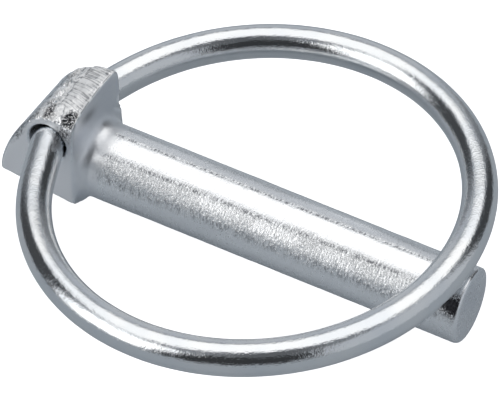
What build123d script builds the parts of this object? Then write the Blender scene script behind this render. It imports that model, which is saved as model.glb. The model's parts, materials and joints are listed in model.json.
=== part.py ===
from build123d import *
import os
from math import asin, atan2, cos, radians, sin, sqrt, tan

# A linch pin for tractors and trailers: a round steel pin with a forged head,
# and an open ring of spring wire whose two ends turn in a hole through the head.
# The ring lies on the pin near its tip and keeps the pin in its cross hole.
#
# Frame, in millimetres: the origin is on the pin's axis, at the shoulder where the
# head begins. +X runs along the pin to its tip, +Z points to the side of the pin
# that the closed ring lies on, and Y runs across the head, close to the hinge line.

# --- driving dimensions: pin ----------------------------------------------------------
PIN_RADIUS = 5.0
PIN_LENGTH = 53.8            # shoulder to the middle of the sheared end
GRIP_LENGTH = 47.0           # the shank is parallel up to here, short of the closed ring
TIP_RADIUS = 4.88            # and draws in a little from there to its end
END_TILT_Y = 0.09            # slope of the sheared end across the pin
END_TILT_Z = -0.03           # slope of the sheared end up the pin
END_ROUND = 0.45             # rolled edge of the sheared end
ROOT_ROUND = 1.3             # hollow between the shank and the shoulder

# --- driving dimensions: head ---------------------------------------------------------
HEAD_LENGTH = 11.4
HEAD_BACK_Y = 5.75           # the head's far side is square to Y
HEAD_FRONT_Y = -6.2          # near side at its lower corner; it leans in going up
HEAD_FRONT_LEAN = 0.095      # sideways lean for each millimetre of height
HEAD_FRONT_BASE = -3.4       # height that HEAD_FRONT_Y is given at
HEAD_BOTTOM = -5.1           # underside height at the shoulder, in the middle
HEAD_BOTTOM_RADIUS = 9.6     # the underside is still round, from the bar
HEAD_BOTTOM_RISE = 7.0       # degrees that the underside rises towards the outer end
HEAD_EDGE_ROUND = 0.7

TOE_HEIGHT = -0.9            # the outer end is upright from the underside to here
NOSE = (-9.95, 2.95)         # then it bows, through this X and Z
BROW = (-7.6, 6.9)           # to the foot of the top
TOP_MIDDLE = (-4.35, 9.35)   # which curves up through here
CROWN = (0.0, 11.05)         # to the shoulder

BACK_CORNER_HEIGHT = 10.0    # the hammered top from behind: where the far side ends,
TOP_SECTION = [              # then Y and Z of its facets
    (5.2, 11.0),
    (4.2, 11.2),
    (-0.6, 10.7),
    (-3.4, 9.9),
    (-4.6, 9.2),
]
FRONT_CORNER_HEIGHT = 8.2    # and where the near side begins

# --- driving dimensions: ring and hinge -----------------------------------------------
WIRE_RADIUS = 2.2
RING_RADIUS = 27.5           # centreline of the wire
HINGE_X_FRONT = -3.75        # hinge line where it leaves the head's near side
HINGE_X_BACK = -2.75         # and its far side: the small skew makes the ring snap shut
HINGE_Z = 5.6
HINGE_PLAY = 0.08            # radial clearance of the wire in its hole
MOUTH_RADIUS = 2.85          # each end of the hole is opened out for the bent wire
MOUTH_DEPTH = 2.0
MOUTH_SHIFT = 0.25           # the spring's pull wears the two mouths opposite ways
MOUTH_DROP = 0.15
REST_GAP = 0.05              # between the closed ring and the pin

RING_CENTRE_OUT = 27.5       # ring centre from the hinge line
RING_CENTRE_SIDE = 1.32      # ring centre along the hinge line
FRONT_LEAD_ANGLE = 27.0      # where the round part of the ring stops, seen from its centre
BACK_LEAD_ANGLE = 16.0
FRONT_BEND_RADIUS = 6.0
BACK_BEND_RADIUS = 8.0
WIRE_END_GAP = 1.0           # each wire end stops this far from the head's middle

CLEAR = 14.0                 # farther from the pin's axis than any part of the head
SPARE = 2.0                  # how far a cutting or trimming shape runs past what it cuts

# --- places worked out from them ------------------------------------------------------
HINGE_SKEW = atan2(HINGE_X_BACK - HINGE_X_FRONT, HEAD_BACK_Y - HEAD_FRONT_Y)
HINGE_POINT = Vector((HINGE_X_FRONT + HINGE_X_BACK) / 2, 0, HINGE_Z)
HINGE_DIRECTION = Vector(sin(HINGE_SKEW), cos(HINGE_SKEW), 0)
RING_RISE = PIN_RADIUS + WIRE_RADIUS + REST_GAP - HINGE_Z
RING_PITCH = asin(RING_RISE / (RING_CENTRE_OUT + RING_RADIUS))


def front_side(height):
    """Y of the head's leaning near side at a height."""
    return HEAD_FRONT_Y + HEAD_FRONT_LEAN * (height - HEAD_FRONT_BASE)


def head_sides_and_top():
    """Cross-section of the head: leaning near side, square far side, sloping hammered top."""
    outline = [
        (front_side(-CLEAR), -CLEAR),
        (HEAD_BACK_Y, -CLEAR),
        (HEAD_BACK_Y, BACK_CORNER_HEIGHT),
        *TOP_SECTION,
        (front_side(FRONT_CORNER_HEIGHT), FRONT_CORNER_HEIGHT),
    ]
    return Plane.YZ * make_face(Polyline(*outline, close=True))


def above_underside():
    """Cross-section of all the space above the head's round underside."""
    half_width = (HEAD_BACK_Y - HEAD_FRONT_Y) / 2 + SPARE
    drop = HEAD_BOTTOM_RADIUS - sqrt(HEAD_BOTTOM_RADIUS**2 - half_width**2)
    near, far = (-half_width, HEAD_BOTTOM + drop), (half_width, HEAD_BOTTOM + drop)
    near_top, far_top = (-half_width, CLEAR), (half_width, CLEAR)
    outline = [
        ThreePointArc(near, (0, HEAD_BOTTOM), far),
        Line(far, far_top),
        Line(far_top, near_top),
        Line(near_top, near),
    ]
    return Plane.YZ * make_face(outline)


def head_profile():
    """Side view of the head: a steep bowed outer end under a top that rises to the shoulder."""
    toe = (-HEAD_LENGTH, TOE_HEIGHT)
    low_inner, low_outer = (0, -CLEAR), (-HEAD_LENGTH, -CLEAR)
    outline = [
        Line(low_inner, low_outer),
        Line(low_outer, toe),
        ThreePointArc(toe, NOSE, BROW),
        ThreePointArc(BROW, TOP_MIDDLE, CROWN),
        Line(CROWN, low_inner),
    ]
    return extrude(Plane.XZ * make_face(outline), CLEAR, both=True)


def outer_end_edges(head):
    """The edges down both sides of the outer end, which the forging die leaves round."""
    def at_outer_side(edge):
        middle = edge.center()
        return middle.X < -0.8 * HEAD_LENGTH and abs(middle.Y) > 0.95 * HEAD_BACK_Y
    return head.edges().filter_by(at_outer_side)


def forged_head():
    """The head: its cross-section and its side view in common, above the round underside."""
    rise = radians(HEAD_BOTTOM_RISE)
    head = extrude(head_sides_and_top(), -HEAD_LENGTH - SPARE) & head_profile()
    head &= extrude(above_underside(), 2 * HEAD_LENGTH, dir=(-cos(rise), 0, sin(rise)))
    return fillet(outer_end_edges(head), HEAD_EDGE_ROUND)


def root_collar():
    """Hollow round between the shank and the shoulder, trimmed to the head's sides."""
    outer = PIN_RADIUS + ROOT_ROUND
    halfway = radians(45)
    hollow_middle = (ROOT_ROUND * (1 - cos(halfway)), outer - ROOT_ROUND * sin(halfway))
    profile = make_face([
        Line((0, 0), (0, outer)),
        ThreePointArc((0, outer), hollow_middle, (ROOT_ROUND, PIN_RADIUS)),
        Line((ROOT_ROUND, PIN_RADIUS), (ROOT_ROUND, 0)),
        Line((ROOT_ROUND, 0), (0, 0)),
    ])
    trim = extrude(head_sides_and_top() & above_underside(), ROOT_ROUND)
    return revolve(profile, Axis.X) & trim


def round_shank():
    """The shank: parallel over the grip, then drawn in slightly to a sheared, rolled end."""
    draw = (PIN_RADIUS - TIP_RADIUS) / (PIN_LENGTH - GRIP_LENGTH)
    stock = PIN_LENGTH + SPARE - GRIP_LENGTH
    shank = extrude(Plane.YZ * Circle(PIN_RADIUS), GRIP_LENGTH)
    shank += Plane.YZ.offset(GRIP_LENGTH) * Cone(
        PIN_RADIUS,
        PIN_RADIUS - draw * stock,
        stock,
        align=(Align.CENTER, Align.CENTER, Align.MIN),
    )
    end = Plane(origin=(PIN_LENGTH, 0, 0), z_dir=(1, END_TILT_Y, END_TILT_Z))
    shank -= extrude(end * Rectangle(4 * PIN_RADIUS, 4 * PIN_RADIUS), 2 * SPARE)
    return fillet(shank.edges().group_by(Axis.X)[-1], END_ROUND)


def hinge_hole():
    """The hole for the wire, right through the head, opened out at both ends."""
    along = Plane(origin=HINGE_POINT, z_dir=HINGE_DIRECTION)
    bore = extrude(along * Circle(WIRE_RADIUS + HINGE_PLAY), CLEAR, both=True)
    flare = (MOUTH_RADIUS - WIRE_RADIUS - HINGE_PLAY) / MOUTH_DEPTH
    for side, face_y in ((-1, front_side(HINGE_Z)), (1, HEAD_BACK_Y)):
        worn = Vector(-side * MOUTH_SHIFT, 0, -MOUTH_DROP)
        centre = HINGE_POINT + HINGE_DIRECTION * (face_y / cos(HINGE_SKEW)) + worn
        mouth = Plane(origin=centre, z_dir=HINGE_DIRECTION * side)
        bore += mouth.offset(-MOUTH_DEPTH) * Cone(
            MOUTH_RADIUS - flare * MOUTH_DEPTH,
            MOUTH_RADIUS + flare * SPARE,
            MOUTH_DEPTH + SPARE,
            align=(Align.CENTER, Align.CENTER, Align.MIN),
        )
    return bore


def forged_pin():
    """Shank, root hollow and head, forged from one bar, with the hole for the wire."""
    return forged_head() + root_collar() + round_shank() - hinge_hole()


def lead_corner(angle, side):
    """Where a tangent from the round part of the ring meets the hinge line, and that tangent's
    start. Angle is from the ring's nearest point to the hinge; side is -1 near, +1 far."""
    turn = radians(angle)
    start = (
        RING_CENTRE_OUT - RING_RADIUS * cos(turn),
        RING_CENTRE_SIDE + side * RING_RADIUS * sin(turn),
    )
    corner = (0, start[1] - side * start[0] / tan(turn))
    return corner, start


def spring_ring():
    """One length of round wire: straight ends in the hole, two bends, and the round of the ring."""
    front_corner, front_start = lead_corner(FRONT_LEAD_ANGLE, -1)
    back_corner, back_start = lead_corner(BACK_LEAD_ANGLE, 1)
    far_side = (RING_CENTRE_OUT + RING_RADIUS, RING_CENTRE_SIDE)
    path = (
        FilletPolyline((0, -WIRE_END_GAP), front_corner, front_start, radius=FRONT_BEND_RADIUS)
        + ThreePointArc(front_start, far_side, back_start)
        + FilletPolyline(back_start, back_corner, (0, WIRE_END_GAP), radius=BACK_BEND_RADIUS)
    )
    flat = Vector(cos(HINGE_SKEW), -sin(HINGE_SKEW), 0)
    out = flat * cos(RING_PITCH) + Vector(0, 0, sin(RING_PITCH))
    ring_plane = Plane(origin=HINGE_POINT, x_dir=out, z_dir=out.cross(HINGE_DIRECTION))
    route = ring_plane * path
    section = Plane(origin=HINGE_POINT - HINGE_DIRECTION * WIRE_END_GAP, z_dir=-HINGE_DIRECTION)
    return sweep(section * Circle(WIRE_RADIUS), path=route)


os.makedirs("parts", exist_ok=True)
for name, solid in (("forged_pin", forged_pin()), ("spring_ring", spring_ring())):
    export_step(solid, f"parts/{name}.step")
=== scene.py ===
import bmesh
import bpy
import json
import numpy as np
from math import acos, asin, cos, pi, radians, sin, sqrt, tan
from mathutils import Matrix, Vector, noise


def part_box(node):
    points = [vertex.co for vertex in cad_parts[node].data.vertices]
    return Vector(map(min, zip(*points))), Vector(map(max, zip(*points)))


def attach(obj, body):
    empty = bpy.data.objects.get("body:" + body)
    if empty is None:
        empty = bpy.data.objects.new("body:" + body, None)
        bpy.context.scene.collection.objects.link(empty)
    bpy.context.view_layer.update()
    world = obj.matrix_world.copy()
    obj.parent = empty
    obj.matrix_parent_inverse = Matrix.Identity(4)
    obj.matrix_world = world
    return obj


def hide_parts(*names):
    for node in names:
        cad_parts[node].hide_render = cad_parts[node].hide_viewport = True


# Looks of a linch pin: a forged, zinc plated pin and the open ring of spring wire
# hinged in its head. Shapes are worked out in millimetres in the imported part's frame
# (X along the shank to its tip, Z to the side that the ring lies on) and scaled to metres.

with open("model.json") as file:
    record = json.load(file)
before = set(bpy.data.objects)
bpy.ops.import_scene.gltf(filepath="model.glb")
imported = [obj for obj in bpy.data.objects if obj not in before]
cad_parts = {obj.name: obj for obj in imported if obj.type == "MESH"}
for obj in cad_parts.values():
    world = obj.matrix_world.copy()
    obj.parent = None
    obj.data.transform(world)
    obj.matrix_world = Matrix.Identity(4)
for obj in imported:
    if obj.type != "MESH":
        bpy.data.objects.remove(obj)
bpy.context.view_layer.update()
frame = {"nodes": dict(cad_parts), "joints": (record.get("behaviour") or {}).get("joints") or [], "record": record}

MM = 0.001
SEED = 7


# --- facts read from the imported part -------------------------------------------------
def record_mount(name):
    return next(m for m in frame["record"]["mounts"] if m["name"] == name)


def box_mm(node):
    low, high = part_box(node)
    return np.array(low) / MM, np.array(high) / MM


HINGE = frame["joints"][0]
HINGE_POINT = np.array(HINGE["pos_m"]) / MM
HINGE_AXIS = -np.array(HINGE["axis"]) / np.linalg.norm(HINGE["axis"])     # towards +Y
PIN_LOW, PIN_HIGH = box_mm("forged_pin")
SHANK_RADIUS = record_mount("shank")["dims"]["r_mm"]

# --- head and shank ------------------------------------------------------------------
SHANK_START = -6.0           # the shank's field starts inside the head
SHANK_SWELL = 0.07           # the shank is this much thicker by the head
SHANK_TAPER = 0.0036         # and draws in this much for each millimetre
END_X = 53.77                # where the axis meets the sheared end
END_NORMAL = (1.0, 0.07, -0.01)
END_ROLL = 0.6               # how far the shear drags the rim over
ROOT_BLEND = 2.3             # size of the hollow between the shoulder and the shank
ROOT_TIGHT = 0.7             # and its size underneath and behind
ROOT_GROOVE = 0.14           # the die's mark around the foot of that hollow,
ROOT_GROOVE_X = 1.5          # its place along the shank
ROOT_GROOVE_WIDTH = 0.4
ROOT_GROOVE_TURN = 0.15      # and its middle and half-length round it, in radians
ROOT_GROOVE_HALF = 0.6

FRONT_Y = -6.2               # near side of the head, at FRONT_BASE
FRONT_BASE = -3.4
FRONT_LEAN = 0.095
SHOULDER_SKEW = 0.022        # the shoulder isn't quite square to the shank
BACK_Y = float(PIN_HIGH[1])
BOTTOM_RADIUS = 11.4
BOTTOM_RISE = radians(7.0)
TOE = (-11.43, -0.9)         # X and Z: the outer end is upright up to here
NOSE = (-9.98, 2.95)         # then it bows through here
BROW = (-7.63, 6.9)          # to the foot of the top
TOP_MIDDLE = (-4.38, 9.38)   # which curves up through here
CROWN = (0.0, 11.05)         # to the shoulder
BEVEL_FOOT = 8.0             # height where the bevel above the hole leaves the near side
TOP_SECTION = [              # Y and Z of the top's facets, from that bevel to the back
    (-4.7, 9.15),
    (-3.4, 9.95),
    (-0.6, 10.65),
    (3.6, 11.1),
    (5.0, 11.0),
    (5.75, 10.3),
]

TOE_ROUND = 0.5              # how far each of the head's edges is rounded
FACET_ROUND = 0.35
BEVEL_ROUND = 0.5
BROW_ROUND = 0.7
SIDE_ROUND = 0.6
UNDERSIDE_ROUND = 0.25
SHOULDER_ROUND = 0.35
COLLAR_ROUND = 0.4
MOUTH_ROUND = 0.28

HOLE_PLAY = 0.05
MOUTH_RADIUS = 2.72
MOUTH_DEPTH = 3.0
MOUTH_CURVE = 0.8            # below 1 the mouth opens early, like a bell
MOUTH_SHIFT = 0.25           # the ring's pull wears the two mouths opposite ways
MOUTH_DROP = 0.32            # and both of them downwards
WIRE_RADIUS = 2.23

# --- ring ----------------------------------------------------------------------------
RING_RADIUS = 27.53
RING_CENTRE = (27.53, 1.33)  # from the hinge line, and along it
LEAD_ANGLES = {-1: 27.0, 1: 16.0}   # degrees from the hinge where its round part stops, by side
BEND_RADII = {-1: 6.0, 1: 8.0}      # of the wire's two bends into the hole
WIRE_END_GAP = 1.0           # the hidden ends stop this far from the head's middle
WIRE_END_CHAMFER = 0.45
REST_GAP = 0.05              # between the closed ring and the shank

# where the closed ring lies, and how low it reaches when it is swung right round
RING_RISE = SHANK_RADIUS + WIRE_RADIUS + REST_GAP - HINGE_POINT[2]
RING_REACH = RING_CENTRE[0] + RING_RADIUS
RING_PITCH = asin(RING_RISE / RING_REACH)
FAR_STOP = radians(360 - HINGE["range_deg"][1]) - RING_PITCH
LOWEST_RING = HINGE_POINT[2] - RING_REACH * sin(FAR_STOP) - WIRE_RADIUS


def sharp_or_round_max(a, b, size):
    """The larger of two fields, with the corner between them rounded over a size."""
    return np.maximum(a, b) + np.maximum(size - np.abs(a - b), 0) ** 2 / (4 * size)


def round_min(a, b, size):
    return -sharp_or_round_max(-a, -b, size)


def disc(u, v, centre, radius):
    return np.hypot(u - centre[0], v - centre[1]) - radius


def circle_through(a, b, c):
    """Centre and radius of the circle through three points."""
    (ax, ay), (bx, by), (cx, cy) = a, b, c
    d = 2 * (ax * (by - cy) + bx * (cy - ay) + cx * (ay - by))
    sa, sb, sc = ax**2 + ay**2, bx**2 + by**2, cx**2 + cy**2
    ux = (sa * (by - cy) + sb * (cy - ay) + sc * (ay - by)) / d
    uy = (sa * (cx - bx) + sb * (ax - cx) + sc * (bx - ax)) / d
    return (ux, uy), np.hypot(ax - ux, ay - uy)


def half_plane(u, v, start, end):
    """Distance outside the line from start to end; the inside is on its right."""
    du, dv = end[0] - start[0], end[1] - start[1]
    length = np.hypot(du, dv)
    return (-(u - start[0]) * dv + (v - start[1]) * du) / length


def front_side(height):
    """Y of the head's leaning near side at a height."""
    return FRONT_Y + FRONT_LEAN * (height - FRONT_BASE)


def head_field(x, y, z):
    """Below zero inside the head."""
    front = (front_side(z) - y) / sqrt(1 + FRONT_LEAN**2)
    sides = np.maximum(front, y - BACK_Y)

    nose = disc(x, z, *circle_through(TOE, NOSE, BROW))
    outer = sharp_or_round_max(TOE[0] - x, nose, TOE_ROUND)

    top = disc(x, z, *circle_through(BROW, TOP_MIDDLE, CROWN))
    for start, end in zip(TOP_SECTION, TOP_SECTION[1:]):
        top = sharp_or_round_max(top, half_plane(y, z, start, end), FACET_ROUND)
    bevel = half_plane(y, z, (front_side(BEVEL_FOOT), BEVEL_FOOT), TOP_SECTION[0])
    top = sharp_or_round_max(top, bevel, BEVEL_ROUND)

    across = z * cos(BOTTOM_RISE) + x * sin(BOTTOM_RISE)
    middle = PIN_LOW[2] + BOTTOM_RADIUS
    bottom = np.hypot(y, np.minimum(across - middle, 0)) - BOTTOM_RADIUS

    head = sharp_or_round_max(outer, top, BROW_ROUND)
    head = sharp_or_round_max(head, sides, SIDE_ROUND)
    return sharp_or_round_max(head, bottom, UNDERSIDE_ROUND)


def shank_field(x, y, z):
    """Below zero inside the shank."""
    radius = SHANK_RADIUS + SHANK_SWELL - SHANK_TAPER * np.clip(x, 0, None)
    round_it = (np.arctan2(z, -y) - ROOT_GROOVE_TURN) / ROOT_GROOVE_HALF
    along_it = (x - ROOT_GROOVE_X) / ROOT_GROOVE_WIDTH
    groove = ROOT_GROOVE * np.exp(-(round_it**2)) * np.exp(-(along_it**2))
    round_bar = np.hypot(y, z) - radius + groove
    normal = np.array(END_NORMAL) / np.linalg.norm(END_NORMAL)
    end = (x - END_X) * normal[0] + y * normal[1] + z * normal[2]
    drag = np.clip(0.5 - (0.8 * y + 0.6 * z) / (2 * SHANK_RADIUS), 0, 1)
    rolled = sharp_or_round_max(round_bar, end, END_ROLL * (0.55 + 0.9 * drag))
    return np.maximum(rolled, SHANK_START - x)


def hole_field(x, y, z):
    """Below zero inside the wire's hole and its two worn mouths."""
    px, py, pz = x - HINGE_POINT[0], y - HINGE_POINT[1], z - HINGE_POINT[2]
    along = px * HINGE_AXIS[0] + py * HINGE_AXIS[1]
    side = px * HINGE_AXIS[1] - py * HINGE_AXIS[0]
    bore = WIRE_RADIUS + HOLE_PLAY
    hole = np.hypot(side, pz) - bore
    for way, face in ((-1, front_side(HINGE_POINT[2])), (1, BACK_Y)):
        depth = np.clip((way * along - (abs(face) - MOUTH_DEPTH)) / MOUTH_DEPTH, 0, 1.3)
        worn = np.hypot(side - way * MOUTH_SHIFT * depth, pz + MOUTH_DROP * depth)
        hole = np.minimum(hole, worn - bore - (MOUTH_RADIUS - bore) * depth**MOUTH_CURVE)
    return hole


def pin_field(points):
    """Below zero inside the whole forging."""
    x, y, z = points.T
    block, shank = head_field(x, y, z), shank_field(x, y, z)
    shoulder = x - SHOULDER_SKEW * (y - FRONT_Y)
    open_side = step_up(-4.6, -1.5, z) * (1 - step_up(0.5, 4.5, y))
    blend = ROOT_TIGHT + (ROOT_BLEND - ROOT_TIGHT) * open_side
    collar = sharp_or_round_max(block, round_min(shoulder, shank, blend), COLLAR_ROUND)
    body = np.minimum(sharp_or_round_max(block, shoulder, SHOULDER_ROUND), shank)
    body = np.minimum(body, collar)
    return sharp_or_round_max(body, -hole_field(x, y, z), MOUTH_ROUND)


def gradient(field, points, step=0.02):
    columns = []
    for axis in range(3):
        shift = np.zeros(3)
        shift[axis] = step
        columns.append((field(points + shift) - field(points - shift)) / (2 * step))
    return np.stack(columns, 1)


def settle(field, points, rounds):
    """Moves points onto the field's surface and returns them with their normals."""
    for _ in range(rounds):
        slope = gradient(field, points)
        steep = np.maximum((slope**2).sum(1), 0.05)
        move = (field(points) / steep)[:, None] * slope
        reach = np.linalg.norm(move, axis=1, keepdims=True)
        points = points - move * np.minimum(1, 0.3 / np.maximum(reach, 1e-9))
    slope = gradient(field, points)
    return points, slope / np.maximum(np.linalg.norm(slope, axis=1, keepdims=True), 1e-9)


# --- mesh helpers --------------------------------------------------------------------
def link(obj):
    bpy.context.scene.collection.objects.link(obj)
    return obj


def get_points(mesh):
    flat = np.empty(len(mesh.vertices) * 3)
    mesh.vertices.foreach_get("co", flat)
    return flat.reshape(-1, 3) / MM


def set_points(mesh, points):
    mesh.vertices.foreach_set("co", (points * MM).astype(np.float32).ravel())
    mesh.update()


def apply_modifier(obj, kind, **settings):
    modifier = obj.modifiers.new("step", kind)
    for key, value in settings.items():
        setattr(modifier, key, value)
    with bpy.context.temp_override(object=obj, active_object=obj, selected_objects=[obj]):
        bpy.ops.object.modifier_apply(modifier="step")


def lumps(points, size, octaves=3, offset=0.0):
    """Soft noise from -1 to 1 at points, in features of a size in millimetres."""
    shift = Vector((offset, SEED, -offset))
    return np.array([
        noise.fractal(Vector(p) / size + shift, 1.0, 2.0, octaves) for p in points
    ])


def step_up(low, high, value):
    """0 below low, 1 above high, smooth between."""
    t = np.clip((value - low) / (high - low), 0, 1)
    return t * t * (3 - 2 * t)


# --- forged pin ----------------------------------------------------------------------
VOXEL = 0.212


def refine(obj, pick, cuts):
    """Cuts the faces whose centre pick() accepts into smaller ones."""
    mesh = obj.data
    bm = bmesh.new()
    bm.from_mesh(mesh)
    chosen = [f for f in bm.faces if pick(f.calc_center_median() / MM, f.normal)]
    edges = list({e for f in chosen for e in f.edges})
    bmesh.ops.subdivide_edges(bm, edges=edges, cuts=cuts, use_grid_fill=True)
    bmesh.ops.triangulate(bm, faces=[f for f in bm.faces if len(f.verts) > 4])
    bm.to_mesh(mesh)
    bm.free()


# Hammer dents on the outer half of the head's top: place along X and Y, half-lengths
# along and across, turn in degrees, and depth.
DENTS = [
    (-5.3, 4.1, 1.5, 1.1, 30, 0.30),
    (-5.4, 2.0, 1.0, 1.1, -20, 0.46),
    (-5.0, 0.0, 1.3, 0.9, 25, 0.52),
    (-5.2, -1.8, 1.1, 0.8, 0, 0.42),
    (-6.9, 2.6, 0.7, 1.4, 0, 0.12),
    (-6.7, -0.3, 0.6, 1.1, 10, 0.12),
    (-2.6, 1.0, 0.8, 0.6, -18, 0.10),
    (-1.4, 4.9, 0.9, 0.5, -18, 0.12),
]
# Torn patches in the bevel between the top and the hole, in the same way.
TEARS = [
    (-4.3, -3.5, 1.0, 1.7, 10, 0.34),
    (-0.9, -3.9, 1.25, 1.5, -12, 0.40),
    (-3.3, -4.2, 0.7, 0.5, 30, 0.12),
    (-6.0, -4.0, 0.7, 0.5, 40, 0.12),
]
SHEAR_TURN = 0.32            # the shear marks lean this far to -Y along X
CREASE_X = -3.7              # a ragged crease parts the hammered half from the sheared half
BEVEL_Y = (-2.9, -2.3)       # the top turns down to the bevel between these

# Soft patches: centre, and size along X, Y and Z.
# a soft dark patch painted on the shoulder
SHOULDER_DARK_PATCH = ((0, -1.4, 8.5), (np.inf, 1.5, 0.8))
HOLE_SCUFF = ((-1.5, -5.1, 7.6), (0.8, 0.6, 1.0))
NOSE_SCUFF = ((-8.1, -5.4, 5.7), (0.5, 0.7, 1.7))
NOSE_SCUFF_LEAN = 0.5        # this one follows the outer end's slope


def hollows(points, shapes, sharp):
    """How deep a list of oval hollows goes at each point, from above."""
    depth = np.zeros(len(points))
    for x, y, long, wide, turn, deep in shapes:
        c, s = cos(radians(turn)), sin(radians(turn))
        u = (points[:, 0] - x) * c + (points[:, 1] - y) * s
        v = (points[:, 1] - y) * c - (points[:, 0] - x) * s
        away = np.sqrt((u / long) ** 2 + (v / wide) ** 2)
        depth = np.maximum(depth, deep * (1 - step_up(sharp, 1.0, away)))
    return depth


def patch(points, centre, size):
    """1 at a soft patch's centre, fading over its size."""
    return np.exp(-(((points - centre) / size) ** 2).sum(1))


def shear_lines(points, size, offset):
    """Thin grooves left by the shear, side by side across the top: 1 in a groove."""
    marks = np.array([
        noise.noise(Vector(((y + SHEAR_TURN * x) / size, 0.1 * x, offset)))
        for x, y, _ in points
    ])
    return np.exp(-((marks / 0.13) ** 2))


def top_detail(points):
    """The top's marks: how far each point moves out, how torn it is and how deep in a cut, which the material
    paints dark: painted shade in the grooves and crease, and the seams' dark lines.
    """
    x, y = points[:, 0], points[:, 1]
    rough = lumps(points, 1.3, 4, 11.0)
    crumbs = lumps(points, 0.42, 3, 23.0)
    ragged_x = x + 0.5 * rough
    flat = step_up(*BEVEL_Y, y)
    inner = step_up(CREASE_X - 0.2, CREASE_X + 0.2, ragged_x)
    beaten = np.maximum(1 - inner, 1 - flat)

    broken = 0.4 + 0.6 * step_up(-0.3, 0.3, lumps(points, 0.9, 2, 15.0))
    faint = 0.6 * step_up(-0.1, 0.4, lumps(points, 1.1, 2, 19.0))
    grooves = broken * shear_lines(points, 0.46, 4.0) + faint * shear_lines(points, 0.25, 9.0)
    crease = np.exp(-(((ragged_x - CREASE_X) / 0.16) ** 2))
    lip = np.exp(-(((x + 0.25) / 0.2) ** 2))
    seams = np.exp(-((lumps(points, 1.1, 2, 29.0) / 0.07) ** 2))
    ripped = hollows(points, TEARS, 0.3)

    move = flat * (0.06 * (inner - 0.5) - 0.14 * crease + 0.05 * lip - 0.08 * inner * grooves)
    move += 0.11 * beaten * rough + (0.02 + 0.05 * beaten) * crumbs
    move -= hollows(points, DENTS, 0.15) + ripped * (0.6 + 1.1 * crumbs)
    # the material paints this dark: painted shade in the grooves and the crease, and the seams' fine dark lines
    cuts = flat * (inner * grooves + 0.8 * crease) + 0.9 * beaten * seams
    return move, np.clip(5 * ripped, 0, 1), np.clip(cuts, 0, 1)


def pin_detail(points, normals):
    """How far each point of the smooth pin moves out, its torn marks, and its cut marks and painted shade."""
    x, y, z = points.T
    on_head = 1 - step_up(-0.3, 0.0, x)
    move = 0.02 * lumps(points, 4.0)
    move += 0.012 * (1 - on_head) * step_up(1.5, 3.0, x) * lumps(points, 1.1, 2, 3.0)
    torn = np.zeros(len(points))
    cut_and_shade = np.zeros(len(points))

    on_top = step_up(0.2, 0.55, normals[:, 2]) * step_up(6.6, 7.6, z) * on_head
    struck = np.nonzero(on_top > 0)[0]
    top_move, top_torn, top_cut_and_shade = top_detail(points[struck])
    move[struck] += on_top[struck] * top_move
    torn[struck] = on_top[struck] * top_torn
    cut_and_shade[struck] = on_top[struck] * top_cut_and_shade

    # painted shadow: a thin dark line under the burr along the shoulder's top edge
    burr_shadow = np.exp(-(((x + 0.02) / 0.06) ** 2)) * step_up(8.4, 9.2, z)
    burr_shadow *= step_up(-0.9, -0.2, np.sin(2.3 * y) + 0.6 * np.sin(5.1 * y))
    # a soft dark patch painted on the shoulder
    shoulder_dark_patch = patch(points, *SHOULDER_DARK_PATCH) * (1 - on_head)
    cut_and_shade = np.maximum(cut_and_shade, np.maximum(0.9 * burr_shadow, 0.7 * shoulder_dark_patch))

    leaning = points.copy()
    leaning[:, 0] -= NOSE_SCUFF_LEAN * (z - NOSE_SCUFF[0][2])
    scuff = patch(leaning, *NOSE_SCUFF) + patch(points, *HOLE_SCUFF)
    near = np.nonzero(scuff > 0.05)[0]
    scuff, place = scuff[near], points[near]
    scraped = scuff * np.abs(lumps(place * (1.0, 1.0, 0.4), 0.4, 3, 31.0))
    torn[near] = np.maximum(torn[near], np.clip(6.0 * scraped, 0, 0.9))
    move[near] -= 0.10 * scuff * np.abs(lumps(place, 0.6, 3, 37.0))
    return move, {"torn": torn, "cut_and_shade": cut_and_shade}


def make_forged_pin():
    source = frame["nodes"]["forged_pin"]
    mesh = source.data.copy()
    mesh.materials.clear()
    pin = link(bpy.data.objects.new("pin_forging", mesh))
    apply_modifier(pin, "REMESH", mode="VOXEL", voxel_size=VOXEL * MM, use_smooth_shade=True)
    apply_modifier(pin, "SMOOTH", factor=0.5, iterations=3)
    points, _ = settle(pin_field, get_points(pin.data), 3)
    set_points(pin.data, points)
    apply_modifier(pin, "SMOOTH", factor=0.5, iterations=2)
    points, _ = settle(pin_field, get_points(pin.data), 3)
    set_points(pin.data, points)
    refine(pin, lambda p, n: p.z > 6.5 and p.x < 0.1 and n.z > 0.3, 2)
    points, normals = settle(pin_field, get_points(pin.data), 3)
    move, marks = pin_detail(points, normals)
    set_points(pin.data, points + normals * move[:, None])
    for name, values in marks.items():
        mark = pin.data.attributes.new(name, "FLOAT", "POINT")
        mark.data.foreach_set("value", values.astype(np.float32))
    pin.data.shade_smooth()
    return pin


# --- spring ring ---------------------------------------------------------------------
WIRE_STEP = 0.35
WIRE_SIDES = 56


def bend(corner, before, after, radius, step):
    """Points round a corner on an arc of a radius, from the leg before to the leg after."""
    a = np.array(before) / np.linalg.norm(before)
    b = np.array(after) / np.linalg.norm(after)
    turn = acos(float(a @ b))
    reach = radius * tan(turn / 2)
    start = np.array(corner) - a * reach
    inward = (b - a * float(a @ b)) / sin(turn)
    angles = np.linspace(0, turn, max(3, int(radius * turn / step)))
    centre = start + inward * radius
    return centre + radius * (np.outer(np.sin(angles), a) - np.outer(np.cos(angles), inward))


def straight(start, end, step):
    start, end = np.array(start, float), np.array(end, float)
    count = max(2, int(np.linalg.norm(end - start) / step))
    return start + np.outer(np.linspace(0, 1, count + 1)[1:-1], end - start)


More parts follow.
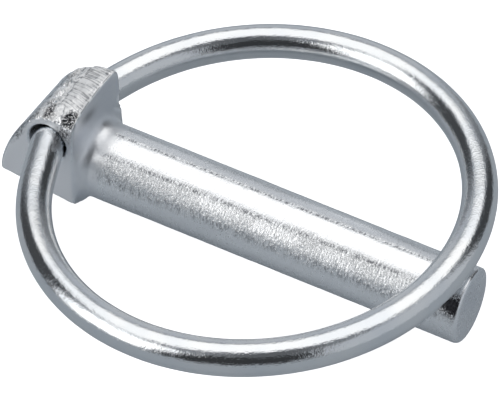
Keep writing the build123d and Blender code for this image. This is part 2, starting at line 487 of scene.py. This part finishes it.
def lead(side):
    """Half of the wire's hinge end, from inside the head to where the round part starts."""
    turn = radians(LEAD_ANGLES[side])
    start = np.array((
        RING_CENTRE[0] - RING_RADIUS * cos(turn),
        RING_CENTRE[1] + side * RING_RADIUS * sin(turn),
    ))
    corner = np.array((0.0, start[1] - side * start[0] / tan(turn)))
    curve = bend(corner, (0, side), start - corner, BEND_RADII[side], WIRE_STEP)
    tip = np.array((0.0, side * WIRE_END_GAP))
    legs = [tip[None], straight(tip, curve[0], WIRE_STEP), curve]
    legs.append(straight(curve[-1], start, WIRE_STEP))
    return np.concatenate(legs)


def ring_route():
    """The wire's centreline in the ring's own plane: out from the hinge line, and along it."""
    near, far = lead(-1), lead(1)
    sweep = 2 * pi - radians(LEAD_ANGLES[-1]) - radians(LEAD_ANGLES[1])
    first = pi + radians(LEAD_ANGLES[-1])
    angles = first + np.linspace(0, sweep, int(RING_RADIUS * sweep / WIRE_STEP))
    arc = np.stack([
        RING_CENTRE[0] + RING_RADIUS * np.cos(angles),
        RING_CENTRE[1] + RING_RADIUS * np.sin(angles),
    ], 1)
    return np.concatenate([near, arc, far[::-1]])


def make_spring_ring():
    route = ring_route()
    flat = np.array((HINGE_AXIS[1], -HINGE_AXIS[0], 0.0))
    out = flat * cos(RING_PITCH) + np.array((0, 0, sin(RING_PITCH)))
    up = np.cross(out, HINGE_AXIS)
    middle = HINGE_POINT + np.outer(route[:, 0], out) + np.outer(route[:, 1], HINGE_AXIS)
    ahead = np.gradient(middle, axis=0)
    ahead /= np.linalg.norm(ahead, axis=1, keepdims=True)
    side = np.cross(ahead, up)

    steps = np.linalg.norm(np.diff(middle, axis=0), axis=1)
    travelled = np.concatenate([[0], np.cumsum(steps)])
    left = travelled[-1] - travelled
    nearest_end = np.minimum(travelled, left)
    chamfer = WIRE_END_CHAMFER * (1 - step_up(0.0, 0.6, nearest_end))
    points, quads = [], []
    for i, centre in enumerate(middle):
        for k in range(WIRE_SIDES):
            turn = 2 * pi * k / WIRE_SIDES
            ray = cos(turn) * side[i] + sin(turn) * up
            points.append(centre + ray * (WIRE_RADIUS - chamfer[i]))
    points = np.array(points)
    rays = points - np.repeat(middle, WIRE_SIDES, 0)
    rays /= np.linalg.norm(rays, axis=1, keepdims=True)
    uneven = 0.012 * lumps(points, 6.0, 2, 5.0) + 0.006 * lumps(points, 1.6, 2, 9.0)
    points += rays * uneven[:, None]
    count = len(middle)
    for i in range(count - 1):
        for k in range(WIRE_SIDES):
            a, b = i * WIRE_SIDES + k, i * WIRE_SIDES + (k + 1) % WIRE_SIDES
            quads.append((a, b, b + WIRE_SIDES, a + WIRE_SIDES))
    quads.append(tuple(reversed(range(WIRE_SIDES))))
    quads.append(tuple(range((count - 1) * WIRE_SIDES, count * WIRE_SIDES)))

    mesh = bpy.data.meshes.new("ring_wire")
    mesh.from_pydata((points * MM).tolist(), [], quads)
    along = mesh.attributes.new("along", "FLOAT", "POINT")
    along.data.foreach_set("value", np.repeat(travelled, WIRE_SIDES).astype(np.float32))
    around = mesh.attributes.new("around", "FLOAT_VECTOR", "POINT")
    angle = np.tile(2 * pi * np.arange(WIRE_SIDES) / WIRE_SIDES, count)
    ring_place = np.stack([np.cos(angle), np.sin(angle), np.repeat(travelled, WIRE_SIDES)], 1)
    around.data.foreach_set("vector", ring_place.astype(np.float32).ravel())
    mesh.update()
    bm = bmesh.new()
    bm.from_mesh(mesh)
    bmesh.ops.recalc_face_normals(bm, faces=bm.faces)
    bm.to_mesh(mesh)
    bm.free()
    ring = link(bpy.data.objects.new("ring_wire", mesh))
    ring.data.shade_smooth()
    return ring


# --- materials -----------------------------------------------------------------------
class Nodes:
    """Short names for building a material's or world's node tree."""

    def __init__(self, tree):
        self.tree = tree

    def add(self, kind, inputs=(), **settings):
        node = self.tree.nodes.new(kind)
        for key, value in settings.items():
            setattr(node, key, value)
        for key, value in dict(inputs).items():
            socket = node.inputs[key]
            if isinstance(value, bpy.types.NodeSocket):
                self.tree.links.new(value, socket)
            else:
                socket.default_value = value
        return node

    def math(self, operation, a, b=0.0, c=0.0):
        return self.add("ShaderNodeMath", {0: a, 1: b, 2: c}, operation=operation).outputs[0]

    def product(self, first, *others):
        for other in others:
            first = self.math("MULTIPLY", first, other)
        return first

    def span(self, value, low, high, to_low=0.0, to_high=1.0):
        """Maps low..high smoothly onto to_low..to_high."""
        inputs = {"Value": value, "From Min": low, "From Max": high}
        inputs.update({"To Min": to_low, "To Max": to_high})
        kind = "ShaderNodeMapRange"
        return self.add(kind, inputs, interpolation_type="SMOOTHSTEP").outputs[0]

    def stretch(self, vector, scale):
        node = self.add("ShaderNodeMapping", {"Vector": vector, "Scale": scale})
        return node.outputs[0]

    def noise(self, vector, scale, detail=3.0, rough=0.5, twist=0.0):
        inputs = {"Vector": vector, "Scale": scale, "Detail": detail}
        inputs.update({"Roughness": rough, "Distortion": twist})
        return self.add("ShaderNodeTexNoise", inputs).outputs["Fac"]

    def mix(self, fac, a, b):
        """Colour a where fac is 0 and b where it is 1."""
        node = self.add("ShaderNodeMix", data_type="RGBA")
        factor, first, second = node.inputs["Factor"], node.inputs[6], node.inputs[7]
        for socket, value in ((factor, fac), (first, a), (second, b)):
            if isinstance(value, bpy.types.NodeSocket):
                self.tree.links.new(value, socket)
            else:
                socket.default_value = value if isinstance(value, float) else (*value, 1)
        return node.outputs[2]

    def bump(self, height, distance, strength=1.0, normal=None):
        inputs = {"Height": height, "Distance": distance, "Strength": strength}
        if normal is not None:
            inputs["Normal"] = normal
        return self.add("ShaderNodeBump", inputs).outputs["Normal"]


def new_metal(name):
    material = bpy.data.materials.new(name)
    material.use_nodes = True
    material.node_tree.nodes.clear()
    nodes = Nodes(material.node_tree)
    shader = nodes.add("ShaderNodeBsdfPrincipled", {"Metallic": 1.0, "IOR": 1.45})
    output = nodes.add("ShaderNodeOutputMaterial")
    nodes.tree.links.new(shader.outputs[0], output.inputs[0])
    return material, nodes, shader


def connect(nodes, shader, **sockets):
    for name, value in sockets.items():
        nodes.tree.links.new(value, shader.inputs[name.replace("_", " ")])


METRE_SCALE = 1000.0         # noise scales are per millimetre times this
ZINC_BRIGHT = (0.98, 0.985, 0.99)
ZINC_LIGHT = (0.88, 0.89, 0.90)
ZINC_BLUE = (0.79, 0.81, 0.84)
# painted light: the head's near side is painted this lighter tone, as if more light fell on it
ZINC_SIDE_PAINTED_LIT = (0.93, 0.93, 0.94)
ZINC_PIT = (0.30, 0.32, 0.35)
# dark cut marks, and painted shade in grooves, under the burr and at the shank's highlight edges
ZINC_DARK_AND_SHADE = (0.16, 0.17, 0.19)
# painted highlight: the top's bare metal is painted near white
BARE_METAL_PAINTED_HIGHLIGHT = (1.0, 1.0, 1.0)
# near black: torn patches, and a dark patch painted on the shank by the tip
NEAR_BLACK = (0.05, 0.05, 0.055)
ROLLED_AND_SHADE_LINES = [             # lines along the shank with coarse grain, painted dark at the highlight's edges as painted reflection: degrees round it, half-width, strength
    (57, 5, 1.0),
    (94, 5, 1.0),
    (24, 13, 0.7),
]
COARSE_ZONES = (36, -140)    # degrees round the shank of the bands where the zinc is coarse
# a dark patch painted on the shank by the tip: where it starts along X in metres, and its middle and half-width
# round the shank in degrees
TIP_PATCH_START = (0.0508, 0.0528)
TIP_PATCH_TURN = (42, 24)


def forged_zinc():
    """Zinc over a forged bar: crystals and pits on the shank, torn bare metal on top painted near white as a
    painted highlight, a near side painted lighter as if lit, and painted shade in cuts and in lines along the
    shank.
    """
    material, nodes, shader = new_metal("forged_zinc")
    place = nodes.add("ShaderNodeTexCoord").outputs["Object"]
    xyz = nodes.add("ShaderNodeSeparateXYZ", {0: place})
    normal = nodes.add("ShaderNodeNewGeometry").outputs["Normal"]
    facing = nodes.add("ShaderNodeSeparateXYZ", {0: normal})
    torn = nodes.add("ShaderNodeAttribute", attribute_name="torn").outputs["Fac"]
    cut_and_shade = nodes.add("ShaderNodeAttribute", attribute_name="cut_and_shade").outputs["Fac"]
    x, y, z = xyz.outputs["X"], xyz.outputs["Y"], xyz.outputs["Z"]

    hooped = nodes.stretch(place, (1.5, 0.6, 0.6))
    crystals = nodes.noise(hooped, 2.3 * METRE_SCALE, 4.0, 0.65, 0.4)
    cloud = nodes.noise(place, 0.2 * METRE_SCALE, 3.0, 0.55)
    speck = nodes.noise(place, 5.0 * METRE_SCALE, 2.0, 0.6)
    ragged = nodes.noise(place, 1.0 * METRE_SCALE, 3.0, 0.6)
    scratch = nodes.noise(nodes.stretch(place, (0.12, 1.0, 6.0)), 1.6 * METRE_SCALE, 3.0, 0.6)

    # where things are
    not_the_end = nodes.span(facing.outputs["X"], 0.3, 0.6, 1.0, 0.0)
    on_shank = nodes.product(nodes.span(x, 0.0015, 0.004), not_the_end)
    on_top = nodes.product(
        nodes.span(z, 0.0072, 0.0088),
        nodes.span(x, -0.0074, -0.0064),
        nodes.span(facing.outputs["Z"], 0.45, 0.75),
        nodes.span(x, 0.0, 0.0004, 1.0, 0.0),
    )
    on_side = nodes.product(
        nodes.span(facing.outputs["Y"], -0.97, -0.9, 1.0, 0.0),
        nodes.span(x, -0.0006, 0.0, 1.0, 0.0),
    )
    at_root = nodes.product(nodes.span(x, -0.0003, 0.0), nodes.span(x, 0.002, 0.0045, 1.0, 0.0))
    turn = nodes.math("ARCTAN2", z, nodes.math("MULTIPLY", y, -1.0))
    # lines along the shank: coarser grain, and painted reflection dark where the highlight's edges fall
    rolled = 0.0
    for angle, half_width, strength in ROLLED_AND_SHADE_LINES:
        line = line_mark(nodes, turn, radians(angle), radians(half_width))
        rolled = nodes.math("MULTIPLY_ADD", line, strength, rolled)
    coarse = nodes.math("MAXIMUM", *(zone_mark(nodes, turn, angle) for angle in COARSE_ZONES))
    coarse = nodes.math("MAXIMUM", coarse, nodes.product(rolled, 0.8))
    coarse = nodes.math("MULTIPLY_ADD", coarse, 0.8, 0.2)
    tip_dark_band = line_mark(nodes, turn, *(radians(angle) for angle in TIP_PATCH_TURN))
    tip_dark_patch = nodes.product(nodes.span(x, *TIP_PATCH_START), tip_dark_band, on_shank)

    # colour
    tone = nodes.mix(nodes.span(cloud, 0.35, 0.65), ZINC_BLUE, ZINC_LIGHT)
    # painted light: the near side is painted lighter, as if lit
    tone = nodes.mix(on_side, tone, ZINC_SIDE_PAINTED_LIT)
    tone = nodes.mix(nodes.product(on_shank, 0.75), tone, ZINC_BRIGHT)
    # painted reflection: dark lines along the shank at the highlight's edges
    painted_line_shade = nodes.product(rolled, on_shank, nodes.span(crystals, 0.46, 0.6), 0.85)
    tone = nodes.mix(painted_line_shade, tone, ZINC_DARK_AND_SHADE)
    pits = nodes.product(nodes.span(speck, 0.62, 0.74), on_shank, coarse, 0.3)
    tone = nodes.mix(pits, tone, ZINC_PIT)
    # painted highlight: the top is painted near white, and made part diffuse below
    tone = nodes.mix(on_top, tone, BARE_METAL_PAINTED_HIGHLIGHT)
    # painted shade in cuts, grooves and the crease, a painted shadow under the burr, and the shoulder's dark patch
    tone = nodes.mix(nodes.product(cut_and_shade, 0.85), tone, ZINC_DARK_AND_SHADE)
    # a dark patch painted on the shank by the tip
    torn = nodes.math("MAXIMUM", torn, nodes.product(tip_dark_patch, 2.0))
    dark = nodes.product(torn, nodes.span(speck, 0.38, 0.52))
    dark = nodes.math("MAXIMUM", dark, nodes.span(tip_dark_patch, 0.45, 0.8))
    tone = nodes.mix(dark, tone, NEAR_BLACK)

    # gloss
    rough = nodes.span(crystals, 0.3, 0.7, 0.17, 0.29)
    for where, more in ((on_top, 0.10), (on_side, 0.25), (at_root, 0.15)):
        rough = nodes.math("MULTIPLY_ADD", where, more, rough)
    # the top's near-white paint is partly diffuse, as part of its painted highlight
    dull = nodes.product(on_top, nodes.span(ragged, 0.38, 0.58, 0.35, 0.85))
    bare = nodes.math("SUBTRACT", 1.0, dull)

    # relief too fine for the mesh
    patchy = nodes.span(cloud, 0.35, 0.6, 0.6, 1.0)
    grain = nodes.product(nodes.math("SUBTRACT", crystals, 0.5), on_shank, patchy, coarse)
    fine = nodes.bump(speck, 0.00005, 0.4)
    lined = nodes.bump(scratch, 0.00006, 0.3, fine)
    body = nodes.bump(grain, 0.0002, 1.0, lined)
    connect(nodes, shader, Base_Color=tone, Roughness=rough, Metallic=bare, Normal=body)
    return material


def zone_mark(nodes, turn, angle):
    """1 over a wide band along the shank where the zinc is coarse, and 0 away from it."""
    away = nodes.math("ABSOLUTE", nodes.math("SUBTRACT", turn, radians(angle)))
    return nodes.span(away, radians(18), radians(30), 1.0, 0.0)


def line_mark(nodes, turn, angle, half_width):
    """1 along a line on the shank at an angle round it, fading to 0 at either side."""
    away = nodes.math("ABSOLUTE", nodes.math("SUBTRACT", turn, angle))
    return nodes.span(away, 0.0, half_width, 1.0, 0.0)


WIRE_GREY = (0.715, 0.74, 0.765)
WIRE_LIGHT = (0.785, 0.795, 0.80)


def wire_zinc():
    """Bright zinc on drawn spring wire: lengthwise drawing lines and a fine orange peel."""
    material, nodes, shader = new_metal("wire_zinc")
    around = nodes.add("ShaderNodeAttribute", attribute_name="around").outputs["Vector"]
    place = nodes.add("ShaderNodeTexCoord").outputs["Object"]
    lines = nodes.noise(nodes.stretch(around, (9.0, 9.0, 0.25)), 1.0, 3.0, 0.6)
    peel = nodes.noise(nodes.stretch(around, (4.5, 4.5, 1.1)), 1.0, 3.0, 0.6)
    cloud = nodes.noise(place, 0.12 * METRE_SCALE, 2.0, 0.5)
    tone = nodes.mix(nodes.span(cloud, 0.35, 0.65), WIRE_GREY, WIRE_LIGHT)
    grit = nodes.noise(nodes.stretch(around, (9.0, 9.0, 5.0)), 1.0, 2.0, 0.6)
    rough = nodes.span(lines, 0.3, 0.7, 0.06, 0.13)
    drawn = nodes.bump(lines, 0.00003, 0.35)
    gritty = nodes.bump(grit, 0.00004, 0.55, drawn)
    skin = nodes.bump(peel, 0.00008, 0.38, gritty)
    connect(nodes, shader, Base_Color=tone, Roughness=rough, Normal=skin)
    return material


# --- studio --------------------------------------------------------------------------
# Flat soft panels and dark flags around the pin, painted in this order: compass
# direction and height in degrees, half-width and half-height for a distance of one,
# softness of the edge, and brightness.
PANELS = [
    (6, 24, 0.85, 0.53, 0.10, 0.56),
    (124, 6, 0.42, 0.50, 0.10, 0.56),
    (-58, 57, 0.23, 0.81, 0.06, 0.13),
    (119, 70, 0.75, 0.56, 0.12, 1.26),
    (-82, 29, 0.85, 0.38, 0.09, 0.045),
    (65, 19, 0.35, 0.41, 0.10, 0.06),
    (-173, 24, 0.46, 0.47, 0.11, 0.07),
    (-130, 29, 0.41, 0.42, 0.13, 1.75),
]
AMBIENT = 0.24
LAMP_TINT = (1.0, 1.0, 1.0)
SHADE_TINT = (0.93, 0.98, 1.05)
BACKDROP = (1.0, 1.0, 1.0, 1)
FLOOR_SEEN = (0.9, 0.9, 0.9, 1)
FLOOR_REFLECTED = (0.52, 0.56, 0.60, 1)
FLOOR_GLOW = 0.75
FLOOR_HALF = 3.0             # metres
FLOOR_GAP = 0.2              # millimetres


def panel(nodes, direction, azimuth, elevation, half_width, half_height, soft):
    """1 where a direction meets a flat panel that faces the pin, and 0 outside it."""
    a, e = radians(azimuth), radians(elevation)
    centre = (cos(a) * cos(e), sin(a) * cos(e), sin(e))
    across = (-sin(a), cos(a), 0)
    upward = (-cos(a) * sin(e), -sin(a) * sin(e), cos(e))
    dot = "DOT_PRODUCT"
    ahead, sideways, climb = [
        nodes.add("ShaderNodeVectorMath", {0: direction, 1: v}, operation=dot).outputs["Value"]
        for v in (centre, across, upward)
    ]
    ahead = nodes.math("MAXIMUM", ahead, 0.01)
    turn = nodes.math("ABSOLUTE", nodes.math("DIVIDE", sideways, ahead))
    rise = nodes.math("ABSOLUTE", nodes.math("DIVIDE", climb, ahead))
    inside = nodes.span(turn, half_width - soft, half_width + soft, 1.0, 0.0)
    within = nodes.span(rise, half_height - soft, half_height + soft, 1.0, 0.0)
    return nodes.math("MULTIPLY", inside, within)


def light_studio():
    """A pale backdrop to look at, and soft panels to be lit by."""
    world = bpy.data.worlds.new("studio")
    bpy.context.scene.world = world
    world.use_nodes = True
    world.node_tree.nodes.clear()
    nodes = Nodes(world.node_tree)
    direction = nodes.add("ShaderNodeTexCoord").outputs["Generated"]
    level = AMBIENT
    for azimuth, elevation, half_width, half_height, soft, strength in PANELS:
        mask = panel(nodes, direction, azimuth, elevation, half_width, half_height, soft)
        change = nodes.math("SUBTRACT", strength, level)
        level = nodes.math("MULTIPLY_ADD", mask, change, level)
    tint = nodes.mix(nodes.span(level, 0.6, 1.1), SHADE_TINT, LAMP_TINT)
    lit = nodes.add("ShaderNodeBackground", {"Color": tint, "Strength": level})
    seen = nodes.add("ShaderNodeBackground", {"Color": BACKDROP, "Strength": 1.0})
    camera_ray = nodes.add("ShaderNodeLightPath").outputs["Is Camera Ray"]
    both = nodes.add("ShaderNodeMixShader", {0: camera_ray, 1: lit.outputs[0], 2: seen.outputs[0]})
    output = nodes.add("ShaderNodeOutputWorld")
    nodes.tree.links.new(both.outputs[0], output.inputs[0])


def lay_floor():
    """A pale floor under the pin and the lowest place its open ring reaches.

    It is bright to look at and a softer grey in reflections.
    """
    half = FLOOR_HALF
    mesh = bpy.data.meshes.new("floor")
    corners = [(-half, -half, 0), (half, -half, 0), (half, half, 0), (-half, half, 0)]
    mesh.from_pydata(corners, [], [(0, 1, 2, 3)])
    floor = link(bpy.data.objects.new("floor", mesh))
    floor.location = (0, 0, (LOWEST_RING - FLOOR_GAP) * MM)

    material = bpy.data.materials.new("floor")
    material.use_nodes = True
    material.node_tree.nodes.clear()
    nodes = Nodes(material.node_tree)
    grey = nodes.add("ShaderNodeBsdfDiffuse", {"Color": FLOOR_REFLECTED})
    white = nodes.add("ShaderNodeBsdfDiffuse", {"Color": FLOOR_SEEN})
    glow = nodes.add("ShaderNodeEmission", {"Strength": FLOOR_GLOW})
    bright = nodes.add("ShaderNodeAddShader", {0: white.outputs[0], 1: glow.outputs[0]})
    camera_ray = nodes.add("ShaderNodeLightPath").outputs["Is Camera Ray"]
    sides = {0: camera_ray, 1: grey.outputs[0], 2: bright.outputs[0]}
    both = nodes.add("ShaderNodeMixShader", sides)
    output = nodes.add("ShaderNodeOutputMaterial")
    nodes.tree.links.new(both.outputs[0], output.inputs[0])
    mesh.materials.append(material)


# --- camera --------------------------------------------------------------------------
VIEW_TARGET = (0.01854, 0.00635, -0.00463)
VIEW_AZIMUTH = -56.86
VIEW_ELEVATION = 46.07
VIEW_ROLL = -3.36
VIEW_DISTANCE = 0.3916
LENS = 220.36


def place_camera():
    data = bpy.data.cameras.new("camera")
    data.lens = LENS
    data.sensor_width = 36.0
    data.clip_end = 20.0
    camera = link(bpy.data.objects.new("camera", data))
    a, e = radians(VIEW_AZIMUTH), radians(VIEW_ELEVATION)
    back = Vector((cos(a) * cos(e), sin(a) * cos(e), sin(e)))
    level = Vector((-sin(a), cos(a), 0))
    upward = back.cross(level)
    r = radians(VIEW_ROLL)
    right = level * cos(r) + upward * sin(r)
    top = upward * cos(r) - level * sin(r)
    turn = Matrix((right, top, back)).transposed().to_4x4()
    camera.matrix_world = Matrix.Translation(Vector(VIEW_TARGET) + back * VIEW_DISTANCE) @ turn
    bpy.context.scene.camera = camera


# --- put together --------------------------------------------------------------------
pin = make_forged_pin()
pin.data.materials.append(forged_zinc())
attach(pin, "pin")
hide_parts("forged_pin")

ring = make_spring_ring()
ring.data.materials.append(wire_zinc())
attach(ring, "ring")
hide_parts("spring_ring")

light_studio()
lay_floor()
place_camera()
bpy.context.scene.view_settings.view_transform = "Standard"
